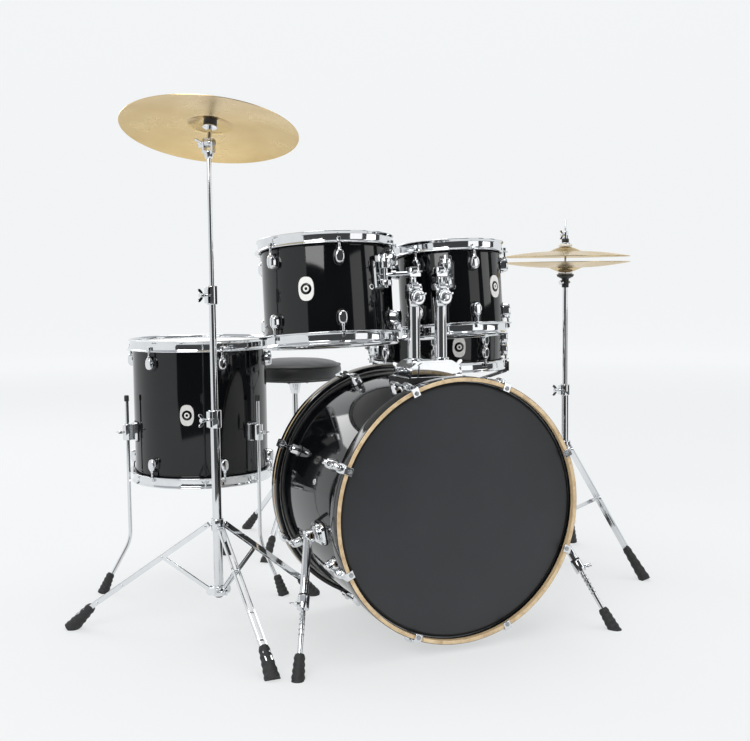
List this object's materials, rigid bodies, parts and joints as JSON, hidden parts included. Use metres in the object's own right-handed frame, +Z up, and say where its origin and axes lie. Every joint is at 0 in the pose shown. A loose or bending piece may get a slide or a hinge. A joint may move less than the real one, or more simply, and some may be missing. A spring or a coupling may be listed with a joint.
{
  "type": "acoustic drum kit",
  "caption": "Free-standing acoustic drum kit: bass drum with mounted rack toms, floor tom, snare, crash and hi-hat on stands, kick pedal and a round padded throne.",
  "frame": {"origin": "Centre of the bottom of the bounding box, on the floor", "axes": "+Z up; the audience side of the bass drum faces -Y and the player sits at +Y; the hi-hat is at +X and the crash and floor tom at -X"},
  "size_m": [1.5744, 1.4245, 1.218],
  "materials": {
    "black_lacquer": "gloss black lacquer over wood",
    "maple_hoop": "clear satin maple",
    "black_hoop": "gloss black lacquer",
    "black_head": "satin black film",
    "coated_head": "white coated film",
    "chrome": "polished chrome",
    "bronze": "lathed cymbal bronze",
    "vinyl": "black grained vinyl",
    "felt": "wool felt"
  },
  "bodies": {
    "kit_frame": {"bass_shell": "black_lacquer", "bass_hoop_front": "maple_hoop", "bass_hoop_rear": "black_hoop", "bass_head_front": "black_head", "bass_head_rear": "coated_head", "tom_mount": "chrome", "floor_tom_shell": "black_lacquer", "floor_tom_hoop_top": "chrome", "floor_tom_hoop_bottom": "chrome", "floor_tom_head_top": "coated_head", "floor_tom_head_bottom": "coated_head", "snare_shell": "black_lacquer", "snare_hoop_top": "chrome", "snare_head_top": "coated_head", "snare_hoop_bottom": "chrome", "snare_stand": "chrome", "crash_base_tube": "chrome", "hihat_base": "chrome", "kick_pedal_frame": "chrome", "throne_stand": "chrome"},
    "post_left": {"tom_post_left": "chrome"},
    "post_right": {"tom_post_right": "chrome"},
    "arm_left": {"tom_arm_left": "chrome"},
    "arm_right": {"tom_arm_right": "chrome"},
    "large_rack_tom": {"tom_large_shell": "black_lacquer", "tom_large_hoop_top": "chrome", "tom_large_hoop_bottom": "chrome", "tom_large_head_top": "coated_head", "tom_large_head_bottom": "coated_head"},
    "small_rack_tom": {"tom_small_shell": "black_lacquer", "tom_small_hoop_top": "chrome", "tom_small_hoop_bottom": "chrome", "tom_small_head_top": "coated_head", "tom_small_head_bottom": "coated_head"},
    "spur_left": {"spur_tube_left": "chrome"},
    "spur_right": {"spur_tube_right": "chrome"},
    "spur_foot_left": {"spur_rod_left": "chrome"},
    "spur_foot_right": {"spur_rod_right": "chrome"},
    "throw_off": {"snare_throw_off_lever": "chrome"},
    "crash_mid": {"crash_mid_tube": "chrome"},
    "crash_upper": {"crash_upper_rod": "chrome"},
    "crash_tilt_head": {"crash_tilter": "chrome"},
    "crash_plate": {"crash_cymbal": "bronze"},
    "hihat_tube": {"hihat_upper_tube": "chrome", "hihat_cymbal_bottom": "bronze"},
    "hihat_pull": {"hihat_rod_and_clutch": "chrome", "hihat_cymbal_top": "bronze"},
    "hihat_board": {"hihat_footboard": "chrome"},
    "kick_board": {"kick_footboard": "chrome"},
    "kick_hammer": {"kick_beater": "felt"},
    "seat": {"throne_seat": "vinyl"},
    "floor_leg_1": {"floor_tom_leg_1": "chrome"},
    "floor_leg_2": {"floor_tom_leg_2": "chrome"},
    "floor_leg_3": {"floor_tom_leg_3": "chrome"},
    "leg_front": {"crash_leg_front": "chrome"},
    "brace_front": {"crash_brace_front": "chrome"},
    "leg_right": {"crash_leg_right": "chrome"},
    "brace_right": {"crash_brace_right": "chrome"},
    "leg_left": {"crash_leg_left": "chrome"},
    "brace_left": {"crash_brace_left": "chrome"}
  },
  "joints": [
    {"name": "tom_post_left_height", "type": "slide", "parent": "kit_frame", "child": "post_left", "axis": [0, 0, 1], "range_m": [-0.02, 0.05]},
    {"name": "tom_post_right_height", "type": "slide", "parent": "kit_frame", "child": "post_right", "axis": [0, 0, 1], "range_m": [-0.02, 0.05]},
    {"name": "tom_large_tilt", "type": "hinge", "parent": "post_left", "child": "arm_left", "pos_m": [-0.04, -0.513, 0.8], "axis": [-1, 0, 0], "range_deg": [-6, 5]},
    {"name": "tom_small_tilt", "type": "hinge", "parent": "post_right", "child": "arm_right", "pos_m": [0.028, -0.513, 0.8], "axis": [-1, 0, 0], "range_deg": [-6, 5]},
    {"name": "tom_large_swivel", "type": "hinge", "parent": "arm_left", "child": "large_rack_tom", "pos_m": [-0.09826, -0.48856, 0.8296], "axis": [0, 0.1045, 0.9945], "range_deg": [0, 15]},
    {"name": "tom_small_swivel", "type": "hinge", "parent": "arm_right", "child": "small_rack_tom", "pos_m": [0.06868, -0.46312, 0.8269], "axis": [0, 0.1045, 0.9945], "range_deg": [-15, 0]},
    {"name": "spur_left_fold", "type": "hinge", "parent": "kit_frame", "child": "spur_left", "pos_m": [-0.31227, -0.535, 0.258], "axis": [0.9848, 0, 0.1736], "range_deg": [0, 70]},
    {"name": "spur_left_extend", "type": "slide", "parent": "spur_left", "child": "spur_foot_left", "axis": [-0.2659, -0.5081, -0.8193], "range_m": [-0.06, 0.03]},
    {"name": "spur_right_fold", "type": "hinge", "parent": "kit_frame", "child": "spur_right", "pos_m": [0.30027, -0.535, 0.258], "axis": [0.9848, 0, -0.1736], "range_deg": [0, 70]},
    {"name": "spur_right_extend", "type": "slide", "parent": "spur_right", "child": "spur_foot_right", "axis": [0.2659, -0.5081, -0.8193], "range_m": [-0.06, 0.03]},
    {"name": "floor_tom_leg_1_height", "type": "slide", "parent": "kit_frame", "child": "floor_leg_1", "axis": [0, 0, -1], "range_m": [-0.12, 0.06]},
    {"name": "floor_tom_leg_2_height", "type": "slide", "parent": "kit_frame", "child": "floor_leg_2", "axis": [0, 0, -1], "range_m": [-0.12, 0.06]},
    {"name": "floor_tom_leg_3_height", "type": "slide", "parent": "kit_frame", "child": "floor_leg_3", "axis": [0, 0, -1], "range_m": [-0.12, 0.06]},
    {"name": "snare_throw_off", "type": "hinge", "parent": "kit_frame", "child": "throw_off", "pos_m": [0.06452, 0.0103, 0.631], "axis": [-0.1132, -0.9936, 0], "range_deg": [0, 80]},
    {"name": "crash_brace_front_fold", "type": "hinge", "parent": "kit_frame", "child": "brace_front", "pos_m": [-0.4553, -0.33299, 0.09776], "axis": [-0.9994, -0.0349, 0], "range_deg": [0, 45]},
    {"name": "crash_leg_front_fold", "type": "hinge", "parent": "brace_front", "child": "leg_front", "pos_m": [-0.45137, -0.44546, 0.17588], "axis": [-0.9994, -0.0349, 0], "range_deg": [-90, 0]},
    {"name": "crash_brace_right_fold", "type": "hinge", "parent": "kit_frame", "child": "brace_right", "pos_m": [-0.43904, -0.3024, 0.09776], "axis": [0.5299, -0.848, 0], "range_deg": [0, 45]},
    {"name": "crash_leg_right_fold", "type": "hinge", "parent": "brace_right", "child": "leg_right", "pos_m": [-0.3436, -0.24276, 0.17588], "axis": [0.5299, -0.848, 0], "range_deg": [-90, 0]},
    {"name": "crash_brace_left_fold", "type": "hinge", "parent": "kit_frame", "child": "brace_left", "pos_m": [-0.47366, -0.30361, 0.09776], "axis": [0.4695, 0.8829, 0], "range_deg": [0, 45]},
    {"name": "crash_leg_left_fold", "type": "hinge", "parent": "brace_left", "child": "leg_left", "pos_m": [-0.57303, -0.25077, 0.17588], "axis": [0.4695, 0.8829, 0], "range_deg": [-90, 0]},
    {"name": "crash_mid_height", "type": "slide", "parent": "kit_frame", "child": "crash_mid", "axis": [0, 0, 1], "range_m": [-0.02, 0.12]},
    {"name": "crash_upper_height", "type": "slide", "parent": "crash_mid", "child": "crash_upper", "axis": [0, 0, 1], "range_m": [-0.02, 0.11]},
    {"name": "crash_tilt", "type": "hinge", "parent": "crash_upper", "child": "crash_tilt_head", "pos_m": [-0.456, -0.313, 1.132], "axis": [-0.788, 0.6157, 0], "range_deg": [-20, 20]},
    {"name": "crash_spin", "type": "hinge", "parent": "crash_tilt_head", "child": "crash_plate", "pos_m": [-0.456, -0.313, 1.132], "axis": [0.1593, 0.2039, 0.9659], "continuous": true},
    {"name": "hihat_height", "type": "slide", "parent": "kit_frame", "child": "hihat_tube", "axis": [0, 0, 1], "range_m": [-0.05, 0.08]},
    {"name": "hihat_pedal", "type": "hinge", "parent": "kit_frame", "child": "hihat_board", "pos_m": [0.43364, 0.03936, 0.028], "axis": [0.7071, 0.7071, 0], "range_deg": [0, 8], "stiffness_Nm_per_rad": 8, "springref_deg": -20.05},
    {"name": "hihat_rod_travel", "type": "slide", "parent": "hihat_tube", "child": "hihat_pull", "axis": [0, 0, -1], "range_m": [0, 0.008]},
    {"name": "kick_pedal", "type": "hinge", "parent": "kit_frame", "child": "kick_board", "pos_m": [-0.006, 0.037, 0.024], "axis": [1, 0, 0], "range_deg": [0, 12], "stiffness_Nm_per_rad": 4, "springref_deg": -11.46},
    {"name": "kick_beater_swing", "type": "hinge", "parent": "kit_frame", "child": "kick_hammer", "pos_m": [-0.006, -0.158, 0.2], "axis": [1, 0, 0], "range_deg": [0, 46.2]},
    {"name": "throne_seat_spin", "type": "hinge", "parent": "kit_frame", "child": "seat", "pos_m": [0.005, 0.45, 0.53], "axis": [0, 0, 1], "continuous": true}
  ],
  "couplings": [
    {"joint": "crash_leg_front_fold", "follows": "crash_brace_front_fold", "ratio": -2},
    {"joint": "crash_brace_right_fold", "follows": "crash_brace_front_fold", "ratio": 1},
    {"joint": "crash_leg_right_fold", "follows": "crash_brace_front_fold", "ratio": -2},
    {"joint": "crash_brace_left_fold", "follows": "crash_brace_front_fold", "ratio": 1},
    {"joint": "crash_leg_left_fold", "follows": "crash_brace_front_fold", "ratio": -2},
    {"joint": "hihat_rod_travel", "follows": "hihat_pedal", "m_per_rad": 0.0572},
    {"joint": "kick_beater_swing", "follows": "kick_pedal", "ratio": 3.85}
  ]
}
